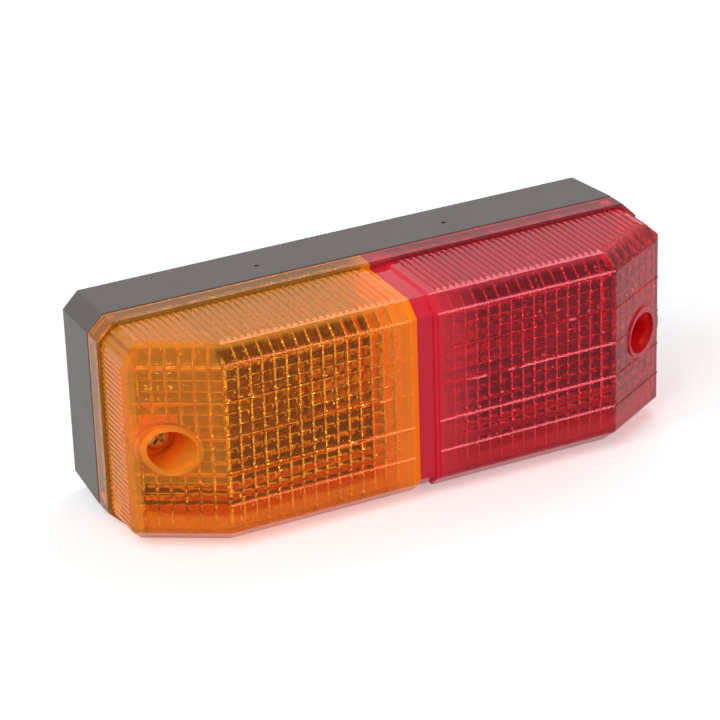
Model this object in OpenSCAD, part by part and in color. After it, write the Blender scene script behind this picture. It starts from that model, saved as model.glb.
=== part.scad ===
// Tail light cluster: a black moulded base, an amber and a red lens bonded side by side, and two
// bayonet bulbs with their sockets and contacts inside.
// Frame: X runs along the lamp (amber at -X, red at +X), Z is up, the mounting face lies at Y = 0
// and the lamp looks towards -Y. "Depth" below is the distance in front of the mounting face.

/* [Overall lamp] */
// Length over the lens flange
lamp_l = 160; // [155:1:176]
// Height over the lens flange
lamp_h = 58.2; // [56:0.2:66]
// Depth from the mounting face to the flat front of the lens
lamp_d = 53.4; // [51:0.2:60]
// Leg of the square-cut corners, seen from the front
corner_cut = 4.4; // [3.6:0.1:6]

/* [Base housing] */
// Depth of the base up to its joint with the lens
base_d = 19.7; // [18.5:0.1:24]
// How far each side of the base draws in towards the back
base_draft = 1; // [0.2:0.1:1.6]
// Thickness of the base side walls at the joint
base_wall = 3.8; // [3.5:0.1:4.8]
// Thickness of the back wall
back_wall = 2.4; // [2:0.1:3.4]
// Broken edge around the mounting face
base_edge = 0.5; // [0.2:0.1:1]
// Visible gap between the base rim and the lens flange
joint_gap = 0.3; // [0.2:0.05:0.5]
// Width of the outer lip that hides the gasket
gasket_lip = 1.2; // [0.9:0.1:1.4]
// Thickness of the wall that parts the amber and the red chamber
partition_t = 1.8; // [1.2:0.1:2.4]
// Distance between the two pin marks on the top face
pin_mark_pitch = 56; // [40:1:70]
// Diameter of a pin mark
pin_mark_dia = 1.3; // [0.8:0.1:2]

/* [Lens body] */
// Depth of the smooth flange
flange_d = 6.4; // [5:0.1:8]
// Broken edges of the flange
flange_edge = 0.45; // [0.2:0.05:0.7]
// How far the fluted body is set in from the flange
body_inset = 0.9; // [0.6:0.1:1.2]
// Length of each angled end, seen from the front
end_l = 22.9; // [20:0.1:25]
// Height of the bevel above and below the front face
bevel_h = 4.4; // [3.6:0.1:6]
// Depth of the bevel around the front face
bevel_d = 5; // [4:0.1:6]
// How far the outer edge of each angled end lies behind the front face
end_drop = 12.4; // [10:0.2:14]
// Length of the narrow bevel between an angled end and its end wall
end_bevel_l = 1.4; // [1:0.1:2]
// Depth of that narrow bevel
end_bevel_d = 2.4; // [1.6:0.1:3]
// Leg of the broken edges around the flat front
ridge_edge = 0.35; // [0.2:0.05:0.5]
// Leg of the rounded-off ridge between the bevel and the fluted wall
wall_ridge = 0.9; // [0.5:0.1:1.2]
// Thickness of the lens side walls
lens_wall = 2.2; // [1.8:0.1:2.6]
// Thickness of the lens front at the thinnest place
lens_front = 2.2; // [1.8:0.1:2.8]

/* [Lens joint] */
// Distance of the colour change from the middle, towards the amber end
colour_edge = 1.9; // [1:0.1:2.4]
// Half width of the recessed band at its top
band_half = 3.8; // [3.2:0.1:4.6]
// Half width of the floor of the recessed band
band_floor = 2.6; // [2.4:0.1:3]
// Depth of the band in the top and bottom walls
band_t = 1; // [0.6:0.1:1.1]
// Depth of the band in the front face
band_front_t = 0.35; // [0.2:0.05:0.5]

// Thickness of the wall that closes each lens at the joint
joint_wall_t = 2.6; // [2:0.1:3]
// Depth at which those walls end
joint_wall_d = 22.5; // [21.5:0.5:30]
// Thickness of the glue line between the lenses
bond_t = 0.04; // [0.02:0.01:0.1]

/* [Lens optics] */
// Spacing of the flutes on the top wall
flute_pitch = 1.85; // [1.6:0.05:2.4]
// Spacing of the flutes on the end walls
end_flute_pitch = 1.47; // [1.3:0.05:2]
// Height of a flute
flute_t = 0.35; // [0.2:0.05:0.5]
// Number of ribs on each corner facet
corner_ribs = 3; // [2:1:4]
// Columns of prisms behind each flat face
face_columns = 15; // [10:1:18]
// Columns of prisms behind each angled end
end_columns = 6; // [4:1:8]
// Rows of prisms between two of the raised lines
strip_rows = 3; // [2:1:3]
// Height of a prism
prism_t = 0.6; // [0.3:0.05:0.8]
// Width of a prism's sloping side
prism_slope = 0.75; // [0.3:0.05:0.9]
// Distance of the first prism column from the middle
prism_start = 5.2; // [4.8:0.1:6]
// Heights of the four raised lines across the front
line_heights = [12.8, 2.8, -7.1, -16];
// How deep the grooves inside a strip are, as a share of a prism's height
row_groove = 0.5; // [0.3:0.05:0.8]
// Width of a raised line
line_w = 0.8; // [0.7:0.05:1]
// Height of a raised line over the face
line_t = 0.25; // [0.15:0.05:0.4]

/* [Screw wells] */
// Distance of each well from the end of the lamp
well_inset = 10.5; // [10:0.1:12]
// Radius of the well
well_r = 5.6; // [5.2:0.1:6]
// Wall of the tube around the well
well_wall = 1.7; // [1.4:0.1:2]
// Depth of the seat under the screw head
seat_d = 35; // [33:0.1:36]
// Thickness of the floor of the well
well_floor = 2; // [1.6:0.1:2.6]
// Height of the lip around the mouth of the well
lip_t = 0.5; // [0.3:0.1:1]
// Radius of the screw shank
screw_r = 2; // [1.7:0.1:2.3]
// Radius of the screw head
screw_head_r = 4; // [3.4:0.1:4.6]
// Height of the screw head
screw_head_t = 2.6; // [2:0.1:3]
// Length of the screw under its head
screw_l = 20; // [14:1:24]
// Thickness of the seal ring under the well
seal_t = 1; // [0.6:0.1:1.6]

/* [Mounting and cable] */
// Distance between the two fixing holes
fixing_pitch = 110; // [104:1:114]
// Radius of a fixing hole
fixing_r = 2.75; // [2.2:0.05:3.2]
// Distance of the cable inlet from the middle, towards the red end
cable_x = 38; // [38:1:40]
// Height of the cable inlet above the lower side
cable_rise = 15.6; // [14:0.1:17]
// Radius of the cable hole in the grommet
cable_r = 3; // [2:0.1:3.6]

/* [Bulbs and sockets] */
// Depth of the bulb axis
bulb_d = 26; // [24:0.1:28]
// Radius of the bulb glass
glass_r = 12.5; // [10:0.1:13]
// Thickness of the bulb glass
glass_t = 0.8; // [0.5:0.1:1]
// Overall length of a bulb
bulb_l = 52.5; // [48:0.5:54]
// Radius of the bulb cap
cap_r = 7.5; // [7.2:0.1:7.8]
// Length of the bulb cap
cap_l = 17.5; // [16:0.5:19]
// Radius of the single contact of the amber bulb
turn_contact_r = 1.6; // [1.3:0.1:2]
// Radius of each of the two contacts of the red bulb
stop_contact_r = 1.4; // [1.1:0.1:1.6]
// Distance of those two contacts from the bulb axis
contact_off = 3.4; // [3.1:0.1:3.6]
// Length of a main filament
filament_l = 8; // [6:0.5:9]
// Distance of a main filament from the end of the glass stem
filament_gap = 9; // [8:0.5:11]
// Distance of the red bulb's two filaments from the bulb axis
filament_off = 2.4; // [2:0.1:3]
// Length of a bulb socket
socket_l = 13; // [12:0.5:14]
// Thickness of the cap and socket sheet
sheet_t = 0.6; // [0.4:0.1:0.8]
// Distance of the bulb contacts from the middle of the lamp
contact_x = 6.3; // [5.6:0.1:7]
// Thickness of the bracket plate
bracket_t = 1; // [0.8:0.1:1.2]
// Height of the earth blade that stands up from the bracket
earth_blade_l = 11; // [9:0.5:12]
// Thickness of the brass contact strips
strip_t = 0.6; // [0.4:0.1:0.8]
// Width of a blade terminal
blade_w = 6.3; // [4.8:0.1:6.3]
// Depth of the seats that carry the contact strips
strip_seat_d = 8.4; // [7:0.1:10]
// Radius of the posts that the push nuts grip
post_r = 1.5; // [1.2:0.1:1.8]

/* [Fits] */
// Clearance between round pieces that fit into each other
fit = 0.05; // [0.02:0.01:0.1]
// Running gap between the partition and the lens
shield_gap = 0.5; // [0.3:0.1:1]

/* [Hidden] */
$fn = 48;

half_l = lamp_l / 2;
half_h = lamp_h / 2;
far = 2 * lamp_l;
// Leg lost by a 45 degree corner cut for each unit that its sides move in
cut_loss = 2 - sqrt(2);

body_l = half_l - body_inset;
body_h = half_h - body_inset;
flange_front = base_d + flange_d;
face_x = half_l - end_l;
face_z = body_h - bevel_h;
end_edge_d = lamp_d - end_drop;
end_x = body_l - end_bevel_l;
bevel_rise = (body_h - face_z) / bevel_d;
end_angle = atan((lamp_d - end_edge_d) / (end_x - face_x));
end_reach = face_x * sin(end_angle) + lamp_d * cos(end_angle);

inner_l = body_l - flute_t - lens_wall;
inner_h = body_h - flute_t - lens_wall;
rim_d = base_d - joint_gap;
gasket_t = 1.2;
tongue_t = 0.6;
ledge_d = base_d - tongue_t - gasket_t;
base_inner_l = half_l - base_wall;
base_inner_h = half_h - base_wall;

boss_top = seat_d - well_floor - seal_t;
well_outer_r = well_r + well_wall;
partition_half_h = min(inner_h - band_t, base_inner_h) - shield_gap;
partition_d = joint_wall_d - shield_gap;
well_x = half_l - well_inset;
cable_z = cable_rise - half_h;

cap_start = contact_x + 2.2;
cap_end = cap_start + cap_l;
socket_start = cap_start + 0.7;
socket_end = socket_start + socket_l;
socket_in_r = cap_r + 0.2;
socket_r = socket_in_r + sheet_t;
flange_r = socket_r + 1.9;
bracket_x = socket_start + 0.8;
bracket_half_w = 10.5;
bracket_end = 28;
pin_x = cap_start + 6.5;
pin_step = 3;
pin_turn = 20;
post_l = 3.2;
nut_t = 0.5;
nut_r = 3.4;
strip_w = 4.4;
strip_post_z = 15.5;
blade_z = 21.6;
blade_l = 10.6;
pocket_d = 1.6;
grommet_r = 7.6;
grommet_neck_r = 5.5;
grommet_lip = 1.2;

// Solid between two depths, from an outline seen from the front (x, z)
module front_solid(d0, d1) {
    translate([0, -d0, 0]) rotate([90, 0, 0]) linear_extrude(d1 - d0) children();
}

// Solid of full height, from a plan outline of [x, depth] points
module plan_solid(points) {
    linear_extrude(far, center = true) polygon([for (p = points) [p[0], -p[1]]]);
}

// Solid along the lamp, from a side outline of [z, depth] points
module side_solid(points) {
    rotate([90, 0, 90]) linear_extrude(far, center = true) polygon([for (p = points) [-p[1], p[0]]]);
}

// Round bar that runs along the depth at (x, z)
module depth_bar(x, z, r, d0, d1) {
    translate([x, -d0, z]) rotate([90, 0, 0]) cylinder(r = r, h = d1 - d0);
}

// Ring or disc on the bulb axis, between two distances from the middle
module axis_bar(r, x0, x1, r_end = -1) {
    translate([x0, -bulb_d, 0]) rotate([0, 90, 0])
        cylinder(r1 = r, r2 = r_end < 0 ? r : r_end, h = x1 - x0);
}

// Straight round rod between two points
module rod(a, b, r) {
    v = b - a;
    translate(a) rotate([0, acos(v[2] / norm(v)), atan2(v[1], v[0])]) cylinder(r = r, h = norm(v), $fn = 16);
}

// Block between two corners given as [x, depth, z]
module block(a, b) {
    translate([a[0], -b[1], a[2]]) cube([b[0] - a[0], b[1] - a[1], b[2] - a[2]]);
}

// Copies the amber side from the red side
module amber_side() mirror([1, 0, 0]) children();

module both_sides() {
    children();
    mirror([1, 0, 0]) children();
}

// Eight-sided outline with square-cut corners
function eight(l, h, cut) = [[l, h - cut], [l - cut, h], [cut - l, h], [-l, h - cut],
    [-l, cut - h], [cut - l, -h], [l - cut, -h], [l, cut - h]];

// The same outline moved in by one distance on every side
function eight_in(l, h, cut, inset) = eight(l - inset, h - inset, cut - cut_loss * inset);

// Section of a drafted side: half widths, depths and broken edges as [back, front] pairs
function side_section(half, d, edge) = let (
    right = [[half[0] - edge[0], d[0]], [half[0], d[0] + edge[0]],
        [half[1], d[1] - edge[1]], [half[1] - edge[1], d[1]]])
    concat(right, [for (i = [3:-1:0]) [-right[i][0], right[i][1]]]);

// Eight-sided block with drafted sides and broken edges, each size a [back, front] pair
module eight_sided(l, h, cut, d, edge) {
    diagonal = [for (i = [0, 1]) (l[i] + h[i] - cut[i]) / sqrt(2)];
    intersection_for (side = [[0, l], [90, h], [45, diagonal], [-45, diagonal]])
        rotate([0, side[0], 0]) plan_solid(side_section(side[1], d, edge));
}

// Flutes along a straight side from a to b: points of n ribs that stand out to the right
function flutes(a, b, pitch, t, margin) = let (
    run = norm(b - a),
    u = (b - a) / run,
    out = [u[1], -u[0]],
    n = floor((run - 2 * margin) / pitch),
    start = (run - n * pitch) / 2)
    [for (i = [0:n - 1]) each [a + u * (start + i * pitch), a + u * (start + (i + 0.12) * pitch) + out * t,
        a + u * (start + (i + 0.55) * pitch) + out * t, a + u * (start + (i + 0.67) * pitch)]];

// Prism cells along a straight stretch from a to b: n flat-topped ridges that stand out to the left
function cells(a, b, n, t, slope) = let (
    run = norm(b - a),
    u = (b - a) / run,
    out = [-u[1], u[0]],
    pitch = run / n)
    [for (i = [0:n - 1]) each [a + u * (i * pitch), a + u * (i * pitch + slope) + out * t,
        a + u * ((i + 1) * pitch - slope) + out * t]];

// Base housing

module base_outer() {
    eight_sided([half_l - base_draft, half_l], [half_h - base_draft, half_h], [corner_cut, corner_cut],
        [0, rim_d], [base_edge, 0.2]);
}

module base_cavity() {
    front_solid(back_wall, base_d) polygon(eight_in(half_l, half_h, corner_cut, base_wall));
    front_solid(ledge_d, base_d) polygon(eight_in(half_l, half_h, corner_cut, gasket_lip));
}

module partition() {
    half_t = partition_t / 2;
    block([-half_t, 0.5, -base_inner_h - 0.5], [half_t, ledge_d, base_inner_h + 0.5]);
    block([-half_t, 0.5, -partition_half_h], [half_t, partition_d, partition_half_h]);
}

// Passage for the bracket and its earth link under the partition
module partition_notch() {
    block([-far, back_wall, -bracket_half_w - 0.4], [far, back_wall + bracket_t + 0.4, bracket_half_w + 0.4]);
}

module screw_bosses() {
    both_sides() {
        depth_bar(well_x, 0, screw_r + 2.6, 0.5, boss_top);
        for (z = [-0.8, 0.8]) block([well_x, 0.5, z - 0.8], [base_inner_l + 0.5, ledge_d - 1, z + 0.8]);
    }
}

module fixing_pads() {
    for (s = [-1, 1]) depth_bar(s * fixing_pitch / 2, 0, 6, 0.5, back_wall + 1.6);
}

// Posts for the push nuts, with the seats that carry the contact strips
module strip_seats() {
    for (p = strip_posts) {
        depth_bar(p[0], p[1], post_r + 1.6, 0.5, strip_seat_d);
        depth_bar(p[0], p[1], post_r, 0.5, strip_seat_d + strip_t + post_l);
    }
}

module bracket_posts() {
    for (x = bracket_post_x) depth_bar(x, 0, post_r, 0.5, back_wall + bracket_t + post_l);
}

module base_housing() color("#2b2a2a") difference() {
    union() {
        difference() {
            base_outer();
            base_cavity();
        }
        difference() {
            partition();
            partition_notch();
        }
        screw_bosses();
        fixing_pads();
        strip_seats();
        bracket_posts();
        depth_bar(cable_x, cable_z, grommet_r + 1.6, 0.5, pocket_d + back_wall);
    }
    for (s = [-1, 1]) {
        depth_bar(s * well_x, 0, screw_r + fit, seat_d - screw_l - 1, seat_d);
        depth_bar(s * fixing_pitch / 2, 0, fixing_r, -1, 2 * back_wall + 1);
        translate([s * pin_mark_pitch / 2, -base_d * 0.58, half_h - base_draft - 0.1])
            cylinder(r = pin_mark_dia / 2, h = 3);
    }
    depth_bar(cable_x, cable_z, grommet_r + 0.6, -1, pocket_d);
    depth_bar(cable_x, cable_z, grommet_neck_r + fit, -1, 2 * back_wall + pocket_d);
}

// Lens

// Front outline of one lens, fluted on its top and end and smooth below
module fluted_outline(edge, up) {
    l = body_l - flute_t;
    h = body_h - flute_t;
    cut = corner_cut - cut_loss * body_inset;
    facet_pitch = cut * sqrt(2) / (corner_ribs + 0.6);
    points = concat(
        [[edge, -body_h], [body_l - cut, -body_h], [l, cut - body_h]],
        flutes([l, cut - body_h], [l, h - cut], end_flute_pitch, flute_t, 0.6),
        flutes([l, h - cut], [l - cut, h], facet_pitch, flute_t, 0.2),
        flutes([l - cut, h], [band_half + 0.8, h], flute_pitch, flute_t, 0.6),
        [[edge, h]]);
    polygon([for (p = points) [p[0], up * p[1]]]);
}

// Plan outline of the front, moved out by rise on its flat and angled faces, with the leg of the edge
// that is broken between them
function front_plan(edge, rise, leg = 0) = let (corner = [face_x + rise * tan(end_angle / 2), lamp_d + rise])
    [[edge, flange_front - 1], [body_l, flange_front - 1],
        [body_l, end_edge_d - end_bevel_d], [end_x, end_edge_d],
        [end_x + rise * sin(end_angle), end_edge_d + rise * cos(end_angle)],
        corner + leg * [cos(end_angle), -sin(end_angle)], corner - [leg, 0], [edge, lamp_d + rise]];

// Side outline with the bevel, for a face at the given distance, moved in by inset
function bevel_side(reach, inset, wall_h) = let (
    z = face_z - inset * (sqrt(1 + bevel_rise * bevel_rise) - bevel_rise),
    top_d = reach - inset - (wall_h - z) / bevel_rise)
    [[-wall_h, 0], [-wall_h, top_d], [-z, reach - inset], [z, reach - inset], [wall_h, top_d], [wall_h, 0]];

// Outer side outline: the bevel with its ridge towards the wall and the face's edge taken off
function ridge_side(reach) = let (
    slope = [body_h - face_z, -bevel_d] / norm([body_h - face_z, bevel_d]),
    face = [face_z, reach],
    wall = [body_h, reach - bevel_d],
    right = [[body_h, 0], wall - [0, wall_ridge], wall - slope * wall_ridge, face + slope * ridge_edge,
        face - [ridge_edge, 0]])
    concat(right, [for (i = [4:-1:0]) [-right[i][0], right[i][1]]]);

module outer_form() {
    intersection() {
        side_solid(ridge_side(lamp_d));
        rotate([0, 0, end_angle]) side_solid(ridge_side(end_reach));
    }
}

module bevelled(inset, wall_h) {
    intersection() {
        side_solid(bevel_side(lamp_d, inset, wall_h));
        rotate([0, 0, end_angle]) side_solid(bevel_side(end_reach, inset, wall_h));
    }
}

// Everything on the far side of the colour change
module beyond(edge) {
    translate([edge, -far / 2, -far / 2]) cube(far);
}

module lens_flange(edge) {
    intersection() {
        union() {
            eight_sided([half_l, half_l], [half_h, half_h], [corner_cut, corner_cut],
                [base_d, flange_front], [flange_edge, flange_edge]);
            front_solid(base_d - tongue_t, base_d + 1)
                polygon(eight_in(half_l, half_h, corner_cut, gasket_lip + 0.3));
        }
        beyond(edge);
    }
}

// The shallow recess that runs round the lens over the joint
module joint_band() {
    difference() {
        block([-band_floor - 0.15, flange_front - 0.5, -half_h], [band_floor + 0.15, lamp_d + 1, half_h]);
        bevelled(band_t, half_h + 1);
    }
    front_solid(flange_front - 0.5, lamp_d + 1) for (s = [-1, 1]) polygon([
        [-band_half - 0.4, s * (body_h + 0.6)], [band_half + 0.4, s * (body_h + 0.6)],
        [band_half - 0.2, s * (body_h - flute_t)], [band_floor, s * (body_h - band_t)],
        [-band_floor, s * (body_h - band_t)], [0.2 - band_half, s * (body_h - flute_t)]]);
    block([-band_half, lamp_d - band_front_t, -half_h], [band_half, lamp_d + 1, half_h]);
}

// Side outline of one raised line, with a flat flank on its upper side that catches the light
function line_side(reach, z, up) = let (w = line_w / 2, root = reach - lens_front / 2, top = reach + line_t)
    [for (p = [[-w, root], [-w, reach], [0.12 - w, top], [0.28 - w, top], [w, reach - 0.02], [w, root]])
        [up * (z + p[0]), p[1]]];

// A line along the flat face and the angled end, mitred where they meet
module raised_line(edge, z, up) {
    intersection() {
        plan_solid(front_plan(edge, line_t));
        union() {
            intersection() {
                side_solid(line_side(lamp_d, z, up));
                block([edge, 0, -half_h], [face_x + 0.1, lamp_d + 1, half_h]);
            }
            intersection() {
                rotate([0, 0, end_angle]) side_solid(line_side(end_reach, z, up));
                block([face_x - 0.1, 0, -half_h], [half_l, lamp_d + 1, half_h]);
            }
        }
    }
}

module raised_lines(edge, up) {
    for (z = line_heights) raised_line(edge, z, up);
}

// The lip around the mouth of a well: a cone cut off parallel to the angled end
module well_lip() {
    intersection() {
        translate([well_x, -end_edge_d, 0]) rotate([90, 0, 0])
            cylinder(r1 = well_outer_r + 0.9, r2 = well_r + 0.7, h = 9);
        plan_solid(front_plan(0, lip_t));
    }
}

// Rows of prisms: one flat-topped bar for each strip, with shallower grooves across it
function strip_bar(z0, z1, front, n) = let (slope = prism_slope * 0.9, pitch = (z1 - z0) / n, dip = row_groove)
    concat([[z0, front], [z0 + slope, front - prism_t]],
        [for (i = [1:n - 1]) each [[z0 + i * pitch - slope * dip, front - prism_t],
            [z0 + i * pitch, front - prism_t * (1 - dip)], [z0 + i * pitch + slope * dip, front - prism_t]]],
        [[z1 - slope, front - prism_t]]);

// Side outline of the rows; the bevels above and the wall below the lowest line stay clear of the columns
function row_side(reach, up) = let (
    front = reach - lens_front,
    clear = bevel_side(reach, lens_front + prism_t + 0.1, inner_h),
    back = clear[3][1],
    top = clear[3][0] - 0.25,
    stops = concat([top], line_heights),
    points = concat([clear[0], clear[1], clear[2], [line_heights[3] - 0.2, back]],
        [for (i = [3:-1:0]) each strip_bar(stops[i + 1], stops[i], front, strip_rows)],
        [[top, front], [top + 0.2, back], clear[3], clear[4], clear[5]]))
    [for (p = points) [up * p[0], p[1]]];

// Depth of the inner face of an angled end at x, and its place along that face
function end_depth(x) = (end_reach - lens_front - x * sin(end_angle)) / cos(end_angle);
function along_end(x) = x * cos(end_angle) - end_depth(x) * sin(end_angle);
inner_corner_x = (end_reach - lens_front - (lamp_d - lens_front) * cos(end_angle)) / sin(end_angle);
last_prism_x = inner_l - 1.2;

// Columns of prisms in the plan outline
function column_plan(edge) = let (
    front = lamp_d - lens_front,
    corner = [inner_corner_x, front],
    outer = [last_prism_x, end_depth(last_prism_x)])
    concat([[edge, 0], [inner_l, 0], [inner_l, end_depth(inner_l) - 1.2]],
        cells(outer, corner, end_columns, prism_t, prism_slope * 0.6),
        cells(corner, [prism_start, front], face_columns, prism_t, prism_slope),
        [[prism_start, front], [edge, front]]);

// The same columns carried on along the inside of the upper bevel
module bevel_columns(reach, x0, x1, n, slope, up) {
    rise = atan2(body_h - face_z, bevel_d);
    translate([0, -reach, up * face_z]) rotate([up * (rise - 90), 0, 0]) linear_extrude(far, center = true)
        polygon(concat([[-far, far], [-far, lens_front]],
            cells([x0, lens_front], [x1, lens_front], n, prism_t, slope),
            [[x1, lens_front], [far, lens_front], [far, far]]));
}

// The hollow of the lens, with the prisms left standing on its front
module lens_hollow(edge, up) {
    difference() {
        intersection() {
            front_solid(0, lamp_d) polygon(eight_in(inner_l, inner_h, corner_cut, 0.01));
            beyond(edge - 1);
            union() {
                intersection() {
                    plan_solid(column_plan(edge - 1));
                    bevelled(lens_front, inner_h);
                    bevel_columns(lamp_d, prism_start, inner_corner_x, face_columns, prism_slope, up);
                    rotate([0, 0, end_angle]) bevel_columns(end_reach, along_end(inner_corner_x),
                        along_end(last_prism_x), end_columns, prism_slope * 0.6, up);
                }
                intersection() {
                    side_solid(row_side(lamp_d, up));
                    rotate([0, 0, end_angle]) side_solid(row_side(end_reach, up));
                }
            }
        }
        block([edge - 2, joint_wall_d, -half_h], [edge + joint_wall_t, lamp_d, half_h]);
    }
}

// One lens, drawn with its far end at +X; edge is the place of the colour change, up is 1 or -1
module lens(edge, up) {
    difference() {
        union() {
            lens_flange(edge);
            difference() {
                intersection() {
                    front_solid(flange_front - 1, lamp_d) fluted_outline(edge, up);
                    plan_solid(front_plan(edge, 0, ridge_edge));
                    outer_form();
                }
                joint_band();
            }
            difference() {
                raised_lines(edge, up);
                joint_band();
            }
            well_lip();
        }
        difference() {
            lens_hollow(edge, up);
            depth_bar(well_x, 0, well_outer_r, seat_d - well_floor, lamp_d);
        }
        depth_bar(well_x, 0, well_r, seat_d, lamp_d + 1);
        depth_bar(well_x, 0, screw_r + 0.3, seat_d - well_floor - 1, seat_d + 1);
    }
}

// The amber lens is the same form turned end for end about the depth axis
module amber_lens() color([0.95, 0.5, 0.1, 0.75]) rotate([0, 180, 0])
    lens(colour_edge + bond_t / 2, -1);

module red_lens() color([0.8, 0.08, 0.15, 0.75]) lens(bond_t / 2 - colour_edge, 1);

// Seals and screws

module lens_gasket() color("#3a3a38") front_solid(ledge_d, ledge_d + gasket_t) difference() {
    polygon(eight_in(half_l, half_h, corner_cut, gasket_lip + 0.1));
    polygon(eight_in(half_l, half_h, corner_cut, base_wall - 0.3));
}

module screw_seals() color("#3a3a38") both_sides() difference() {
    depth_bar(well_x, 0, screw_r + 2.4, boss_top, boss_top + seal_t);
    depth_bar(well_x, 0, screw_r + 0.3, boss_top - 1, boss_top + seal_t + 1);
}

// Pan head with a cross recess, and a plain shank
module lens_screws() color("#b9a981") both_sides() {
    r = screw_head_r;
    t = screw_head_t;
    difference() {
        translate([well_x, -seat_d, 0]) rotate([90, 0, 0]) rotate_extrude() polygon([[0, -screw_l],
            [screw_r, -screw_l], [screw_r, 0], [r, 0], [r, 0.4 * t], [0.93 * r, 0.72 * t],
            [0.75 * r, 0.92 * t], [0.5 * r, t], [0, t]]);
        for (a = [45, 135]) translate([well_x, -seat_d - screw_head_t, 0]) rotate([0, a, 0])
            cube([screw_head_r, 2.6, 0.9], center = true);
    }
}

// Rubber grommet whose groove grips the back wall around the cable inlet
module cable_grommet() color("#242424") difference() {
    union() {
        depth_bar(cable_x, cable_z, grommet_r, pocket_d - grommet_lip, pocket_d);
        depth_bar(cable_x, cable_z, grommet_neck_r, pocket_d - 0.5, pocket_d + back_wall + 0.5);
        depth_bar(cable_x, cable_z, grommet_r, pocket_d + back_wall, pocket_d + back_wall + grommet_lip);
        depth_bar(cable_x, cable_z, cable_r + 1.4, pocket_d, pocket_d + back_wall + 3 * grommet_lip);
    }
    depth_bar(cable_x, cable_z, cable_r, -1, pocket_d + back_wall + 4 * grommet_lip);
}

// Sockets, bracket and contacts

strip_posts = [[-contact_x + 1.8, -strip_post_z], [contact_x - 1.8, strip_post_z],
    [contact_x - 1.8, -strip_post_z]];
bracket_post_x = [-bracket_end + 5, bracket_end - 5];

// Steel plate across both chambers, with an upright for each socket and the earth blade
module socket_bracket() color("#b8bcc0") difference() {
    union() {
        block([-bracket_end, back_wall, -bracket_half_w], [bracket_end, back_wall + bracket_t, bracket_half_w]);
        both_sides() intersection() {
            union() {
                block([bracket_x, back_wall, -bracket_half_w],
                    [bracket_x + bracket_t, bulb_d, bracket_half_w]);
                axis_bar(bracket_half_w, bracket_x, bracket_x + bracket_t);
            }
            block([bracket_x, back_wall, -bracket_half_w], [bracket_x + bracket_t, lamp_d, bracket_half_w]);
        }
        block([-bracket_end, back_wall, bracket_half_w - 0.8], [blade_w - bracket_end,
            back_wall + earth_blade_l, bracket_half_w]);
    }
    both_sides() axis_bar(socket_r + fit, bracket_x - 1, bracket_x + bracket_t + 1);
    for (x = bracket_post_x) depth_bar(x, 0, post_r + 0.2, 0, back_wall + bracket_t + 1);
}

// Push-on nut: a dished ring cut into fingers around its hole
module push_nut(x, z, d) {
    difference() {
        depth_bar(x, z, nut_r, d, d + nut_t);
        depth_bar(x, z, post_r + fit, d - 1, d + nut_t + 1);
        for (a = [0:60:120]) translate([x, -d, z]) rotate([0, a, 0])
            cube([2 * post_r + 2.6, 2 * nut_t + 1, 0.5], center = true);
    }
}

module push_nuts() color("#8f9499") {
    for (x = bracket_post_x) push_nut(x, 0, back_wall + bracket_t);
    for (p = strip_posts) push_nut(p[0], p[1], strip_seat_d + strip_t);
}

// One slot of a bayonet socket: straight in from the mouth, then a short way round
module bayonet_slot(angle, foot_x) {
    w = 2.6;
    translate([0, -bulb_d, 0]) rotate([angle, 0, 0]) translate([0, bulb_d, 0]) {
        block([foot_x - w / 2, bulb_d - w / 2, 0], [socket_end + 1, bulb_d + w / 2, socket_r + 1]);
        translate([foot_x - w / 2, -bulb_d, 0]) rotate([0, 90, 0]) rotate([0, 0, 180])
            rotate_extrude(angle = pin_turn + 9) translate([socket_in_r - 0.6, 0]) square([sheet_t + 1.2, w]);
    }
}

module socket(step) {
    difference() {
        union() {
            axis_bar(socket_r, socket_start, socket_end);
            axis_bar(flange_r, bracket_x - 0.8, bracket_x);
        }
        axis_bar(socket_in_r, socket_start - 1, socket_end + 1);
        bayonet_slot(0, pin_x);
        bayonet_slot(180, pin_x + step);
    }
}

module turn_socket() color("#c9cdd1") amber_side() socket(0);

module stop_socket() color("#c9cdd1") socket(pin_step);

// Brass leaf that presses on a bulb contact, with its foot on a seat and a blade terminal at the end
module contact_strip(z0, z1) {
    x1 = contact_x;
    x0 = contact_x - strip_w;
    d = strip_seat_d;
    block([x1 - strip_t, d, z0], [x1, bulb_d + 4, z1]);
    difference() {
        union() {
            block([x0, d, z0], [x1, d + strip_t, strip_post_z - 4]);
            block([x0, d, strip_post_z - 4.2], [x0 + blade_w, d + strip_t, blade_z]);
        }
        depth_bar(contact_x - 1.8, strip_post_z, post_r + 0.2, 0, d + 3);
    }
    block([x0, d, blade_z - 0.8], [x0 + blade_w, d + blade_l, blade_z]);
}

module turn_strip() color("#c8a24a") amber_side() mirror([0, 0, 1]) contact_strip(-3, 3);

module tail_strip() color("#c8a24a") contact_strip(0.9, 5.9);

module stop_strip() color("#c8a24a") mirror([0, 0, 1]) contact_strip(0.9, 5.9);

// Bulbs

neck_r = cap_r - 0.5;
glass_x = contact_x + bulb_l - glass_r;
neck_x = cap_end + 1.8;

// Pear-shaped bulb form: a ball, a cone that runs off it smoothly, and the neck in the cap
module bulb_form(inset, start) {
    big = glass_r - inset;
    small = neck_r - inset;
    lean = asin((big - small) / (glass_x - neck_x));
    translate([glass_x, -bulb_d, 0]) sphere(r = big);
    axis_bar(small * cos(lean), neck_x - small * sin(lean), glass_x - big * sin(lean), big * cos(lean));
    axis_bar(small * cos(lean), start, neck_x - small * sin(lean) + 0.01);
}

// Envelope and stem, fused as one piece of glass
module bulb_glass() {
    difference() {
        bulb_form(0, cap_start + 8);
        bulb_form(glass_t, cap_start + 9.5);
    }
    axis_bar(2.4, cap_start + 9, cap_end + 7);
}

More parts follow.
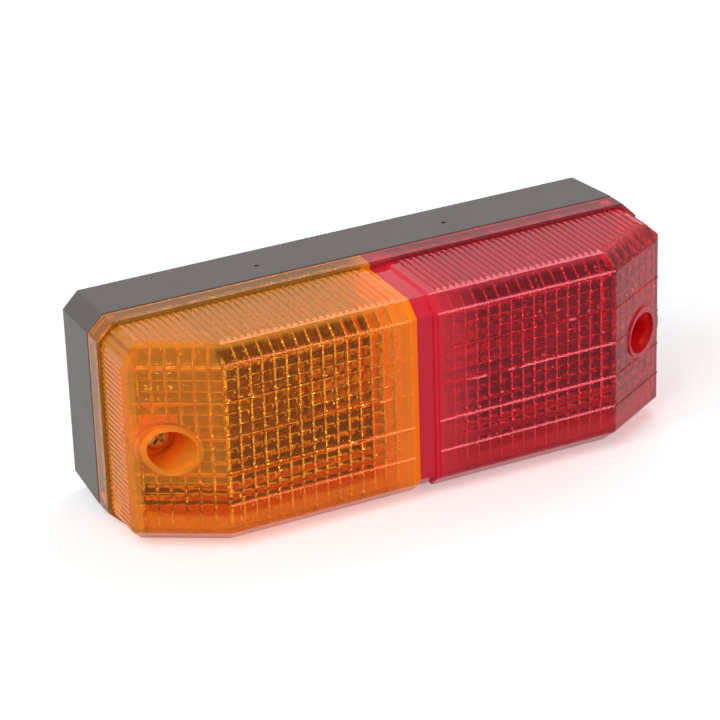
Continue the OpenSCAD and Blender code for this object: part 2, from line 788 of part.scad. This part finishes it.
module bulb_cap(step) {
    difference() {
        union() {
            axis_bar(cap_r, cap_start, cap_end);
            for (p = [[0, 1], [step, -1]]) translate([pin_x + p[0], -bulb_d, 0])
                rotate([pin_turn + (p[1] > 0 ? 0 : 180), 0, 0]) cylinder(r = 1, h = cap_r + 1.1);
        }
        axis_bar(cap_r - 0.4, cap_start - 1, cap_end + 1);
    }
}

module bulb_insulator() {
    axis_bar(4.6, cap_start - 0.6, cap_start + 1, cap_r - 0.4 - fit);
    axis_bar(cap_r - 0.4 - fit, cap_start + 1, cap_start + 2.4);
}

// Solder dome on the end of the bulb
module bulb_contact(z, r) {
    difference() {
        translate([contact_x + r, -bulb_d, z]) {
            sphere(r = r);
            rotate([0, 90, 0]) cylinder(r = r, h = cap_l / 2);
        }
        axis_bar(cap_r, cap_start - 0.6, cap_end);
    }
}

// Coiled wire between two leads: a tube swept along a helix
function coil_point(t, r, l, turns) = [r * cos(360 * turns * t), r * sin(360 * turns * t), (t - 0.5) * l];

module coil(l, turns) {
    rings = turns * 9;
    sides = 5;
    r = 0.6;
    wire = 0.16;
    points = [for (i = [0:rings]) let (a = 360 * turns * i / rings, c = coil_point(i / rings, r, l, turns))
        for (k = [0:sides - 1]) let (b = 360 * k / sides)
            c + wire * [cos(b) * cos(a), cos(b) * sin(a), sin(b)]];
    walls = [for (i = [0:rings - 1]) for (k = [0:sides - 1]) let (m = (k + 1) % sides)
        [i * sides + k, i * sides + m, (i + 1) * sides + m, (i + 1) * sides + k]];
    polyhedron(points, concat(walls, [[for (k = [sides - 1:-1:0]) k]],
        [[for (k = [0:sides - 1]) rings * sides + k]]));
}

lead_r = 0.35;
stem_top = cap_end + 7;
main_coil_x = stem_top + filament_gap;
tail_coil_x = stem_top + filament_gap * 2 / 3;
tail_coil_l = filament_l * 3 / 4;

// Two leads that fan out from the stem to the ends of a coil
module leads(coil_x, coil_off, coil_half) {
    difference() {
        for (s = [-1, 1]) rod([stem_top - 1, -bulb_d + coil_off / 3, s * 1.5],
            [coil_x, -bulb_d + coil_off, s * (coil_half + 0.35)], lead_r);
        axis_bar(5, stem_top - 3, stem_top);
    }
}

module turn_bulb_glass() color([0.9, 0.95, 1, 0.4]) amber_side() bulb_glass();
module turn_bulb_cap() color("#c2a35a") amber_side() bulb_cap(0);
module turn_bulb_insulator() color("#1d1b22") amber_side() bulb_insulator();
module turn_bulb_contact() color("#9a9da1") amber_side() bulb_contact(0, turn_contact_r);
module turn_bulb_leads() color("#8d8f92") amber_side() leads(main_coil_x, 0, filament_l / 2);
module turn_bulb_filament() color("#6e6e70") amber_side()
    translate([main_coil_x, -bulb_d, 0]) coil(filament_l, 10);

module stop_bulb_glass() color([0.9, 0.95, 1, 0.4]) bulb_glass();
module stop_bulb_cap() color("#c2a35a") bulb_cap(pin_step);
module stop_bulb_insulator() color("#1d1b22") bulb_insulator();
module stop_bulb_contacts() color("#9a9da1") for (s = [-1, 1]) bulb_contact(s * contact_off, stop_contact_r);
module stop_bulb_leads() color("#8d8f92") {
    leads(main_coil_x, -filament_off, filament_l / 2);
    leads(tail_coil_x, filament_off, tail_coil_l / 2);
}
module stop_bulb_filaments() color("#6e6e70") {
    translate([main_coil_x, -bulb_d - filament_off, 0]) coil(filament_l, 10);
    translate([tail_coil_x, -bulb_d + filament_off, 0]) coil(tail_coil_l, 8);
}

base_housing();
amber_lens();
red_lens();
lens_gasket();
lens_screws();
screw_seals();
cable_grommet();
socket_bracket();
push_nuts();
turn_socket();
stop_socket();
turn_strip();
tail_strip();
stop_strip();
turn_bulb_glass();
turn_bulb_cap();
turn_bulb_insulator();
turn_bulb_contact();
turn_bulb_leads();
turn_bulb_filament();
stop_bulb_glass();
stop_bulb_cap();
stop_bulb_insulator();
stop_bulb_contacts();
stop_bulb_leads();
stop_bulb_filaments();
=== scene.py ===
# %% [markdown]
# # Tail light cluster
# A rear lamp of the kind screwed to a trailer: a black moulded base, a lens moulded in amber and in
# red, and two bayonet bulbs behind it. The solid model already holds every piece at its real size.
# This lesson gives each piece its finish, adds what is too small for the solid model, and sets up a
# plain studio around it. All lengths are in metres and +Z is up.

# %% Load the solid model
import math

import bpy
from mathutils import Euler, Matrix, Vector


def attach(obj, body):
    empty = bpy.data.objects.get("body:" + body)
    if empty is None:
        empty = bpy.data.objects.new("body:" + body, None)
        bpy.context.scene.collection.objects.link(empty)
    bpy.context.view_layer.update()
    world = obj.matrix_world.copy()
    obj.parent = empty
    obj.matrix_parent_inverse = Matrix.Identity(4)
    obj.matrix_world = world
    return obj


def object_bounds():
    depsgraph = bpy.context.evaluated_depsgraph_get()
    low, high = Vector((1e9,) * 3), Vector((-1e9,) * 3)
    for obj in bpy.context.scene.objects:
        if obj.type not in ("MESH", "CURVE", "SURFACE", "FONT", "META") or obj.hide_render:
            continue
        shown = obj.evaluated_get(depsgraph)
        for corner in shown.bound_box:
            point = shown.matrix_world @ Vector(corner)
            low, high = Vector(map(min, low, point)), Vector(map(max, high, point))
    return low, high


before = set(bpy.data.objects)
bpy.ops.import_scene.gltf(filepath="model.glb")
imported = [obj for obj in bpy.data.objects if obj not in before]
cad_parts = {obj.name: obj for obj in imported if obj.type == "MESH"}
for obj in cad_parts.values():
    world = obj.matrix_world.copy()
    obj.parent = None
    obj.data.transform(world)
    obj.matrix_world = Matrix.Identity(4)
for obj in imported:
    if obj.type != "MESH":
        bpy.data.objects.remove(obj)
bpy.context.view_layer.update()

# %% [markdown]
# ## Camera
# The photograph is taken from the amber end, a little above, with a long lens, so that the long edges
# stay almost parallel. The place, the turn and the focal length were fitted to the edges of the lamp.

# %% Camera
CAMERA_PLACE = (-0.344584, -0.718641, 0.371511)
CAMERA_DEGREES = (64.3638, 1.7234, -26.8997)

camera_data = bpy.data.cameras.new("camera")
camera_data.sensor_width = 36.0
camera_data.lens = 160.486
camera_data.clip_end = 10.0
camera = bpy.data.objects.new("camera", camera_data)
camera.location = CAMERA_PLACE
camera.rotation_euler = Euler([math.radians(angle) for angle in CAMERA_DEGREES])
bpy.context.scene.collection.objects.link(camera)
bpy.context.scene.camera = camera
bpy.context.scene.view_settings.view_transform = "Standard"
print("camera", tuple(round(v, 3) for v in camera.location), "lens", camera_data.lens, "mm")

# %% [markdown]
# ## Helpers for materials
# A material is a small tree of nodes. One function turns a colour as a painter writes it, a six-digit
# hex value, into the linear numbers that Cycles works with. A second one adds a node with its settings
# and links, so that each material below reads as a recipe.


# %% Colour and node helpers
def linear(hex_colour):
    """Turns "#rrggbb" (sRGB) into linear red, green, blue and alpha."""
    channels = [int(hex_colour[i:i + 2], 16) / 255 for i in (1, 3, 5)]
    return tuple(c / 12.92 if c <= 0.04045 else ((c + 0.055) / 1.055) ** 2.4 for c in channels) + (1.0,)


def add(tree, kind, settings=None, **inputs):
    """Adds a node. Inputs are values or output sockets, and an underscore stands for a space."""
    made = tree.nodes.new(kind if kind.startswith("GeometryNode") else "ShaderNode" + kind)
    for name, value in (settings or {}).items():
        setattr(made, name, value)
    for name, value in inputs.items():
        key = int(name[1:]) if name[0] == "i" and name[1:].isdigit() else name.replace("_", " ")
        if isinstance(value, bpy.types.NodeSocket):
            tree.links.new(value, made.inputs[key])
        else:
            made.inputs[key].default_value = value
    return made


def new_material(name):
    """Makes an empty node material and returns it with its tree."""
    material = bpy.data.materials.new(name)
    material.use_nodes = True
    material.node_tree.nodes.clear()
    return material, material.node_tree


def finish_surface(tree, shader, volume=None):
    """Links a shader, and a volume if there is one, to the output."""
    output = add(tree, "OutputMaterial", Surface=shader.outputs[0])
    if volume:
        tree.links.new(volume.outputs[0], output.inputs["Volume"])


def wear(*names, material):
    """Gives the nodes of these names one material."""
    for name in names:
        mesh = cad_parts[name].data
        mesh.materials.clear()
        mesh.materials.append(material)
    print(material.name, "on", ", ".join(names))


# %% [markdown]
# ## The two lenses: where the plastic is thick
# Signal lenses are injection moulded in PMMA. The dye in it also scatters a little light, so the plastic
# glows wherever the eye looks along a wall instead of through it: at the joint of the two colours, in
# the side walls and in the tubes around the screws. Those places could be painted as an image, but they
# follow the lamp's own shape, so they are found from the place of each point: a band fades from one
# number to another over a short stretch, and the strongest band wins.

# %% Bands of thick plastic
WELL_DISTANCE = 0.0695              # of the middle of a screw well, from the middle of the lamp
LOWER_WALL = (-0.0272, -0.0264)     # from inside the wall to the clear field above it
END_FIELD_LOW = (-0.0105, -0.009)   # the clear field of the angled end starts above this
END_FIELD_SIDE = (0.0568, 0.058)    # and outside this
FLANGE = (-0.0263, -0.0259)         # the flange lies behind this

# What is measured, the stretch over which it fades, and the haze before and after it
THICK_BANDS = {
    "joint of the colours": ("side", 0.0044, 0.0052, 1.0, 0.0),
    "beside the joint": ("side", 0.0044, 0.0165, 0.55, 0.0),
    "end wall": ("side", 0.0762, 0.0768, 0.0, 0.42),
    "upper wall": ("up", 0.0264, 0.0272, 0.0, 0.42),
    "lower wall": ("up", *LOWER_WALL, 0.9, 0.0),
    "lowest strip": ("up", -0.0192, -0.0186, 0.22, 0.0),
    "tube around a screw": ("well", 0.0069, 0.0075, 0.6, 0.0),
}


def thick_plastic(tree, place, end_haze):
    """Returns a socket with the haze of each place: 0 on a clear field, 1 at the joint of the colours."""
    axes = add(tree, "SeparateXYZ", Vector=place)
    up = axes.outputs["Z"]
    side = add(tree, "Math", {"operation": "ABSOLUTE"}, i0=axes.outputs["X"]).outputs[0]
    across = add(tree, "Math", {"operation": "SUBTRACT"}, i0=side, i1=WELL_DISTANCE)
    spot = add(tree, "CombineXYZ", X=across.outputs[0], Y=up)
    well = add(tree, "VectorMath", {"operation": "LENGTH"}, Vector=spot.outputs[0]).outputs["Value"]
    measured = {"side": side, "up": up, "well": well}

    above = add(tree, "MapRange", Value=up, From_Min=END_FIELD_LOW[0], From_Max=END_FIELD_LOW[1],
                To_Max=end_haze)
    outside = add(tree, "MapRange", Value=side, From_Min=END_FIELD_SIDE[0], From_Max=END_FIELD_SIDE[1])
    most = add(tree, "Math", {"operation": "MULTIPLY"}, i0=above.outputs[0], i1=outside.outputs[0])
    for kind, start, end, before, after in THICK_BANDS.values():
        band = add(tree, "MapRange", Value=measured[kind], From_Min=start, From_Max=end, To_Min=before,
                   To_Max=after)
        most = add(tree, "Math", {"operation": "MAXIMUM"}, i0=most.outputs[0], i1=band.outputs[0])
    clearer_flange = add(tree, "MapRange", Value=axes.outputs["Y"], From_Min=FLANGE[0], From_Max=FLANGE[1],
                         To_Min=1.0, To_Max=0.35)
    haze = add(tree, "Math", {"operation": "MULTIPLY"}, i0=most.outputs[0], i1=clearer_flange.outputs[0])
    return haze.outputs[0]


print("thick plastic:", ", ".join(THICK_BANDS))

# %% [markdown]
# ## The two lenses: cushions on the prisms
# The ends of the prisms inside the lens are slightly cushioned. A modelled cushion on each of them would
# cost many faces and show only as a bend in the picture behind it, so it is a relief: a cosine along the
# columns and another along the rows, with the pitch of the real prisms.

# %% Relief of the prisms
COLUMN_PITCH, FIRST_COLUMN = 0.00342, 0.0052
ROW_PITCH, FIRST_ROW = 0.0033, -0.0071
FRONT = (-0.04, -0.037)             # only the front of the lens has cushions


def pillows(tree, place):
    """Returns the height of small cushions, one to each prism of the front, from -2 to 2."""
    axes = add(tree, "SeparateXYZ", Vector=place)
    side = add(tree, "Math", {"operation": "ABSOLUTE"}, i0=axes.outputs["X"])
    waves = []
    for along, pitch, start in ((side.outputs[0], COLUMN_PITCH, FIRST_COLUMN),
                                (axes.outputs["Z"], ROW_PITCH, FIRST_ROW)):
        turn = math.tau / pitch
        angle = add(tree, "Math", {"operation": "MULTIPLY_ADD"}, i0=along, i1=turn, i2=-start * turn)
        waves.append(add(tree, "Math", {"operation": "COSINE"}, i0=angle.outputs[0]).outputs[0])
    both = add(tree, "Math", {"operation": "ADD"}, i0=waves[1], i1=waves[0])
    front = add(tree, "MapRange", Value=axes.outputs["Y"], From_Min=FRONT[0], From_Max=FRONT[1],
                To_Min=1.0, To_Max=0.0)
    height = add(tree, "Math", {"operation": "MULTIPLY"}, i0=both.outputs[0], i1=front.outputs[0])
    return height.outputs[0]


print("prism pitch in mm:", round(COLUMN_PITCH * 1000, 2), "across,", round(ROW_PITCH * 1000, 2), "up")

# %% [markdown]
# ## The two lenses: tinted acrylic
# PMMA has an index of 1.49 and is polished by the mould. The colour is a dye in the plastic, so it
# deepens with the length of the light's way through it: a thin wall is pale and a thick edge is strong.
# That is what an absorption volume does, with a tint on the surface to help it. Thick places get less
# clear transmission and a stronger body colour. The colour of the lower wall is darkened, a painted
# shade which keeps the bright floor out of the lowest cells. The mould's polish leaves faint waves a few
# millimetres long on the outside, which break up the reflections. The inside is rougher: the cushions
# and small dimples make every cell show its own small, distorted picture of the dark lamp behind it.
# Light that leaves the plastic meets its surface from behind, and only there does the relief show, so
# the outside stays smooth to the eye.

# %% Acrylic lens material
WAVES_PER_METRE = 160.0     # each about 6 mm long
DIMPLES_PER_METRE = 520.0   # each about 2 mm across
RELIEF_HEIGHT = 0.0006
CUSHION_SHARE = 0.4         # height of the cushions next to that of the dimples
# Painted shade: how bright the colour of the lower wall is kept
LOWER_WALL_PAINTED_SHADE = 0.6            # brightness of the lower wall


def acrylic(name, dye, density, tint, glow, sheen, shade, end_haze):
    """Dyed, clear plastic: tint on clear fields, glow on thick ones, shade for light passing through."""
    material, tree = new_material(name)
    place = add(tree, "TexCoord").outputs["Object"]
    waves = add(tree, "TexNoise", Vector=place, Scale=WAVES_PER_METRE, Detail=1.0, Roughness=0.4)
    outside = add(tree, "Bump", Strength=0.12, Distance=RELIEF_HEIGHT, Height=waves.outputs["Fac"])
    dimples = add(tree, "TexNoise", Vector=place, Scale=DIMPLES_PER_METRE, Detail=1.0, Roughness=0.4)
    relief = add(tree, "Math", {"operation": "MULTIPLY_ADD"}, i0=pillows(tree, place), i1=CUSHION_SHARE,
                 i2=dimples.outputs["Fac"])
    inside = add(tree, "MapRange", Value=add(tree, "NewGeometry").outputs["Backfacing"], To_Max=0.5)
    ripple = add(tree, "Bump", Strength=inside.outputs[0], Distance=RELIEF_HEIGHT,
                 Height=relief.outputs[0], Normal=outside.outputs[0])

    thick = thick_plastic(tree, place, end_haze)
    colour = add(tree, "Mix", {"data_type": "RGBA"}, Factor=thick)
    colour.inputs[6].default_value = linear(tint)
    colour.inputs[7].default_value = linear(glow)
    height = add(tree, "SeparateXYZ", Vector=place).outputs["Z"]
    # Painted shade: the colour of the lower wall is darkened, so that the lowest cells show less of the
    # bright floor
    darker = add(tree, "MapRange", Value=height, From_Min=LOWER_WALL[0], From_Max=LOWER_WALL[1],
                 To_Min=LOWER_WALL_PAINTED_SHADE)
    shaded_colour = add(tree, "VectorMath", {"operation": "SCALE"}, Vector=colour.outputs[2],
                Scale=darker.outputs[0])
    clear_share = add(tree, "MapRange", Value=thick, To_Min=0.96, To_Max=0.3)
    body = add(tree, "BsdfPrincipled", Base_Color=shaded_colour.outputs[0], Roughness=0.02, IOR=1.49,
               Transmission_Weight=clear_share.outputs[0], Specular_Tint=linear(sheen),
               Normal=ripple.outputs[0])

    # A shadow ray passes straight through, tinted, so that the lamps light the inside without noise
    clear = add(tree, "BsdfTransparent", Color=linear(shade))
    ray = add(tree, "LightPath").outputs["Is Shadow Ray"]
    surface = add(tree, "MixShader", Fac=ray, i1=body.outputs[0], i2=clear.outputs[0])
    volume = add(tree, "VolumeAbsorption", Color=linear(dye), Density=density)
    finish_surface(tree, surface, volume)
    return material


amber_acrylic = acrylic("amber_acrylic", dye="#fdd600", density=180.0, tint="#f5bf4c", glow="#fd8e14",
                        sheen="#ff8858", shade="#f5c050", end_haze=0.2)
red_acrylic = acrylic("red_acrylic", dye="#f9005f", density=200.0, tint="#ee505f", glow="#d4243c",
                      sheen="#ff8898", shade="#ec6070", end_haze=0.0)
wear("amber_lens", material=amber_acrylic)
wear("red_lens", material=red_acrylic)

# %% [markdown]
# ## Pips in the lower strip
# Along the lowest strip of each lens the mould leaves two rows of small round pips, one to a column of
# prisms. They are 0.7 mm across, too small for the solid model. The same thing many times over along a
# path is what Geometry Nodes do best: a path becomes a curve, the curve becomes points at one pitch,
# and each point gets a flattened ball. The result is made a plain mesh.


# %% Geometry Nodes tree for pips along a path
def pip_tree(name, material):
    """Returns a tree that sets a flattened ball on every point of a path, with a pitch and a radius."""
    tree = bpy.data.node_groups.new(name, "GeometryNodeTree")
    tree.interface.new_socket("Geometry", in_out="INPUT", socket_type="NodeSocketGeometry")
    for size in ("Pitch", "Radius"):
        tree.interface.new_socket(size, in_out="INPUT", socket_type="NodeSocketFloat")
    tree.interface.new_socket("Geometry", in_out="OUTPUT", socket_type="NodeSocketGeometry")
    given = tree.nodes.new("NodeGroupInput")
    curve = add(tree, "GeometryNodeMeshToCurve", Mesh=given.outputs["Geometry"])
    spots = add(tree, "GeometryNodeResampleCurve", {"mode": "LENGTH"}, Curve=curve.outputs[0],
                Length=given.outputs["Pitch"])
    ball = add(tree, "GeometryNodeMeshUVSphere", Segments=10, Rings=6, Radius=given.outputs["Radius"])
    flat = add(tree, "GeometryNodeTransform", Geometry=ball.outputs[0], Scale=(1.0, 0.7, 1.0))
    rows = add(tree, "GeometryNodeInstanceOnPoints", Points=spots.outputs[0], Instance=flat.outputs[0])
    real = add(tree, "GeometryNodeRealizeInstances", Geometry=rows.outputs[0])
    worn = add(tree, "GeometryNodeSetMaterial", Geometry=real.outputs[0], Material=material)
    result = tree.nodes.new("NodeGroupOutput")
    tree.links.new(worn.outputs[0], result.inputs[0])
    return tree


# %% The path of a row
# The flat face lies 53.4 mm in front of the mounting face and turns by 31 degrees at x = 57.1 mm.
FACE_DEPTH, FACE_END, END_TURN = 0.0534, 0.0571, math.atan2(12.4, 20.6)
END_REACH = FACE_END * math.sin(END_TURN) + FACE_DEPTH * math.cos(END_TURN)
ROW_START, ROW_END = 0.0069, 0.0738


def inner_path(side, below, height):
    """Three points on a line that runs below the flat face and the angled end by a given distance."""
    flat = FACE_DEPTH - below
    corner = (END_REACH - below - flat * math.cos(END_TURN)) / math.sin(END_TURN)
    end = (END_REACH - below - ROW_END * math.sin(END_TURN)) / math.cos(END_TURN)
    points = ((ROW_START, flat), (corner, flat), (ROW_END, end))
    return [(side * across, -depth, height) for across, depth in points]


print("angled end turns by", round(math.degrees(END_TURN), 1), "degrees")

# %% Two rows of pips on each lens
PIP_RADIUS = 0.00034
PIP_ROWS = ((0.0028, -0.0222), (0.0042, -0.0246))   # distance below the face, and height


def rows_of_pips(name, side, material):
    """Makes both rows of one lens. The side is -1 for amber and 1 for red."""
    points = [point for below, height in PIP_ROWS for point in inner_path(side, below, height)]
    mesh = bpy.data.meshes.new(name)
    mesh.from_pydata(points, [(0, 1), (1, 2), (3, 4), (4, 5)], [])
    piece = bpy.data.objects.new(name, mesh)
    bpy.context.scene.collection.objects.link(piece)
    tree = pip_tree(name, material)
    modifier = piece.modifiers.new("pips", "NODES")
    modifier.node_group = tree
    sizes = {"Pitch": COLUMN_PITCH, "Radius": PIP_RADIUS}
    for socket in tree.interface.items_tree:
        if socket.name in sizes:
            modifier[socket.identifier] = sizes[socket.name]
    view = bpy.context.evaluated_depsgraph_get()
    plain = bpy.data.meshes.new_from_object(piece.evaluated_get(view))
    piece.modifiers.remove(modifier)
    piece.data = plain
    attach(piece, "root")
    print(name, len(plain.polygons), "faces")


rows_of_pips("amber_pips", -1, amber_acrylic)
rows_of_pips("red_pips", 1, red_acrylic)

# %% [markdown]
# ## Base: black polypropylene
# The base is moulded in black polypropylene or ABS. A mould for a plain part is only spark eroded, so
# its skin is satin with a fine grain, which spreads the reflection of the studio. The grain is a noise
# in three dimensions, which needs no unwrapping and runs round every corner. It is drawn at 0.5 mm,
# coarser than the real one, so that it shows. A slow change of roughness stands for handling.


# %% Black base material
def moulded_black(name, colour, roughness, grain_mm, depth):
    """A dark moulded skin with a grain of a given size and depth."""
    material, tree = new_material(name)
    place = add(tree, "TexCoord").outputs["Object"]
    grain = add(tree, "TexNoise", Vector=place, Scale=1000.0 / grain_mm, Detail=2.0)
    bump = add(tree, "Bump", Strength=0.35, Distance=depth, Height=grain.outputs["Fac"])
    cloud = add(tree, "TexNoise", Vector=place, Scale=60.0, Detail=3.0)
    rough = add(tree, "MapRange", Value=cloud.outputs["Fac"], To_Min=roughness - 0.05,
                To_Max=roughness + 0.07)
    body = add(tree, "BsdfPrincipled", Base_Color=linear(colour), Roughness=rough.outputs[0], IOR=1.5,
               Normal=bump.outputs[0])
    finish_surface(tree, body)
    return material


black_base = moulded_black("black_polypropylene", "#453c38", roughness=0.42, grain_mm=0.5, depth=0.00006)
wear("base_housing", material=black_base)

# %% [markdown]
# ## Rubber seals and grommet
# The gasket, the seal rings and the cable grommet are EPDM rubber, matt and slightly dusty. Their skin
# is like that of the base, only darker, rougher and with a coarser grain, so the same recipe serves.

# %% Rubber material
epdm_rubber = moulded_black("epdm_rubber", "#1d1d1c", roughness=0.72, grain_mm=0.9, depth=0.0001)
wear("lens_gasket", "screw_seals", "cable_grommet", material=epdm_rubber)

# %% [markdown]
# ## Metals
# Sockets and bracket are zinc plated steel, a cool grey. The strips and bulb caps are brass, and the
# lens screws are yellow passivated, so both look warm. Sheet and caps carry a grain from rolling or
# drawing, which is a noise stretched along one direction. It is coarser than the real one, so that it
# shows. Two close colours and a change of roughness from place to place keep each metal from looking
# new and even.

# %% Metal material
# Noise cells to a metre along X, Y and Z: few along the grain and many across it
ROLLED_ALONG_X = (40.0, 900.0, 900.0)
DRAWN_ROUND_X = (900.0, 60.0, 60.0)
NO_DIRECTION = (300.0, 300.0, 300.0)


def rolled_metal(name, colour, second, roughness, grain=ROLLED_ALONG_X):
    """A metal in two close colours, with a grain of its own direction."""
    material, tree = new_material(name)
    place = add(tree, "TexCoord").outputs["Object"]
    stretched = add(tree, "Mapping", Vector=place, Scale=grain)
    lines = add(tree, "TexNoise", Vector=stretched.outputs[0], Scale=1.0, Detail=3.0)
    cloud = add(tree, "TexNoise", Vector=place, Scale=120.0, Detail=2.0)
    blend = add(tree, "Mix", {"data_type": "RGBA"}, Factor=cloud.outputs["Fac"])
    blend.inputs[6].default_value = linear(colour)
    blend.inputs[7].default_value = linear(second)
    rough = add(tree, "MapRange", Value=cloud.outputs["Fac"], To_Min=roughness - 0.06,
                To_Max=roughness + 0.1)
    bump = add(tree, "Bump", Strength=0.15, Distance=0.00004, Height=lines.outputs["Fac"])
    body = add(tree, "BsdfPrincipled", Base_Color=blend.outputs[2], Metallic=1.0,
               Roughness=rough.outputs[0], Normal=bump.outputs[0])
    finish_surface(tree, body)
    return material


zinc_plate = rolled_metal("zinc_plated_steel", "#b9bcc0", "#a2a7ac", 0.3)
spring_steel = rolled_metal("spring_steel", "#8b8d90", "#75777a", 0.34)
rolled_brass = rolled_metal("rolled_brass", "#c9a255", "#b58d42", 0.27)
cap_brass = rolled_metal("drawn_brass", "#c4a061", "#ab8748", 0.25, grain=DRAWN_ROUND_X)
yellow_zinc = rolled_metal("yellow_passivated_zinc", "#c7ab6b", "#b08f52", 0.32)
tin_solder = rolled_metal("tin_solder", "#9a9c9f", "#83868a", 0.45, grain=NO_DIRECTION)
tungsten = rolled_metal("tungsten_wire", "#6a6a6c", "#57585a", 0.4)
nickel_wire = rolled_metal("nickel_wire", "#a5a49f", "#8f8e8a", 0.3)
wear("socket_bracket", "turn_socket", "stop_socket", material=zinc_plate)
wear("push_nuts", material=spring_steel)
wear("turn_strip", "tail_strip", "stop_strip", material=rolled_brass)
wear("turn_bulb_cap", "stop_bulb_cap", material=cap_brass)
wear("lens_screws", material=yellow_zinc)
wear("turn_bulb_contact", "stop_bulb_contacts", material=tin_solder)
wear("turn_bulb_filament", "stop_bulb_filaments", material=tungsten)
wear("turn_bulb_leads", "stop_bulb_leads", material=nickel_wire)

# %% [markdown]
# ## Bulbs: blown soda-lime glass
# The envelopes are thin clear glass with an index of 1.52, blown in a mould, so their surface is smooth
# with faint waves about 11 mm long. The end of the cap is filled with black insulating glass, which is
# opaque and shiny, so it takes the recipe of the base with a low roughness.


# %% Bulb glass materials
def blown_glass(name):
    """Clear glass with faint waves, which lets the light of the lamps through."""
    material, tree = new_material(name)
    place = add(tree, "TexCoord").outputs["Object"]
    waves = add(tree, "TexNoise", Vector=place, Scale=90.0, Detail=1.0)
    bump = add(tree, "Bump", Strength=0.05, Distance=0.0004, Height=waves.outputs["Fac"])
    body = add(tree, "BsdfPrincipled", Base_Color=linear("#f7fbfa"), Roughness=0.0, IOR=1.52,
               Transmission_Weight=1.0, Normal=bump.outputs[0])
    clear = add(tree, "BsdfTransparent", Color=linear("#f2f7f6"))
    ray = add(tree, "LightPath").outputs["Is Shadow Ray"]
    finish_surface(tree, add(tree, "MixShader", Fac=ray, i1=body.outputs[0], i2=clear.outputs[0]))
    return material


bulb_glass = blown_glass("soda_lime_glass")
black_glass = moulded_black("black_insulating_glass", "#17151c", roughness=0.16, grain_mm=1.5,
                            depth=0.00003)
wear("turn_bulb_glass", "stop_bulb_glass", material=bulb_glass)
wear("turn_bulb_insulator", "stop_bulb_insulator", material=black_glass)

# %% [markdown]
# ## Floor and world
# The lamp stands on its lower edge on a pale floor. The floor is large, and beyond it is a white world,
# so that from above, as in the photograph, the ground is white all over. Seen directly, in a mirror or
# through the lens, floor and world are brighter than the light they throw on the lamp, so they look
# white and the floor keeps its shadow.


# %% Brighter where it is seen
def seen_or_lighting(tree, lighting, seen):
    """Returns a socket with one number for rays that see the studio and one for rays that light things."""
    path = add(tree, "LightPath")
    sees = path.outputs["Is Camera Ray"]
    for ray in ("Is Glossy Ray", "Is Transmission Ray"):
        sees = add(tree, "Math", {"operation": "MAXIMUM"}, i0=sees, i1=path.outputs[ray]).outputs[0]
    return add(tree, "MapRange", Value=sees, To_Min=lighting, To_Max=seen).outputs[0]


# %% Floor
FLOOR_REACH = 4.0
WHITE = (1.0, 1.0, 1.0, 1.0)
PAPER_GREY = (0.6, 0.6, 0.6, 1.0)

floor_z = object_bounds()[0][2]
corners = [(x * FLOOR_REACH, y * FLOOR_REACH, floor_z) for x, y in ((-1, -1), (1, -1), (1, 1), (-1, 1))]
floor_mesh = bpy.data.meshes.new("floor")
floor_mesh.from_pydata(corners, [], [(0, 1, 2, 3)])
floor = bpy.data.objects.new("floor", floor_mesh)
bpy.context.scene.collection.objects.link(floor)

paper, tree = new_material("white_paper")
place = add(tree, "TexCoord").outputs["Object"]
fibre = add(tree, "TexNoise", Vector=place, Scale=900.0, Detail=2.0)
bump = add(tree, "Bump", Strength=0.05, Distance=0.0002, Height=fibre.outputs["Fac"])
matt = add(tree, "BsdfPrincipled", Base_Color=PAPER_GREY, Roughness=0.8, Normal=bump.outputs[0])
lift = add(tree, "Emission", Color=WHITE, Strength=seen_or_lighting(tree, lighting=0.0, seen=0.36))
finish_surface(tree, add(tree, "AddShader", i0=matt.outputs[0], i1=lift.outputs[0]))
floor_mesh.materials.append(paper)
print("floor at", round(floor_z, 4), "m")

# %% World
world = bpy.data.worlds.new("studio")
bpy.context.scene.world = world
world.use_nodes = True
sky = world.node_tree
sky.nodes.clear()
glow = add(sky, "Background", Color=WHITE, Strength=seen_or_lighting(sky, lighting=0.6, seen=1.0))
add(sky, "OutputWorld", Surface=glow.outputs[0])
print("world:", world.name)

# %% [markdown]
# ## Lights
# A big soft light hangs over the lamp from the amber side. A narrow strip in front, to the right, draws
# the pale lines along the edges of the lens, and a small light behind gives the top its shape. The
# strip is narrow and weak, because a larger one turned the top of the lens white when seen from behind.

# %% Three soft lights
LAMP_MIDDLE = Vector((0, -0.03, 0))


def soft_light(name, place, size, power):
    """A rectangular light that looks at the middle of the lamp."""
    data = bpy.data.lights.new(name, "AREA")
    data.shape = "RECTANGLE"
    data.size, data.size_y = size
    data.energy = power
    light = bpy.data.objects.new(name, data)
    light.location = place
    light.rotation_euler = (LAMP_MIDDLE - Vector(place)).to_track_quat("-Z", "Y").to_euler()
    bpy.context.scene.collection.objects.link(light)
    print(name, power, "W")


soft_light("key_light", (-0.72, -0.36, 0.78), size=(0.7, 0.7), power=8.5)
soft_light("strip_light", (0.47, -1.03, 0.40), size=(0.34, 0.12), power=1.5)
soft_light("rim_light", (0.45, 0.4, 1.0), size=(0.5, 0.3), power=3.0)
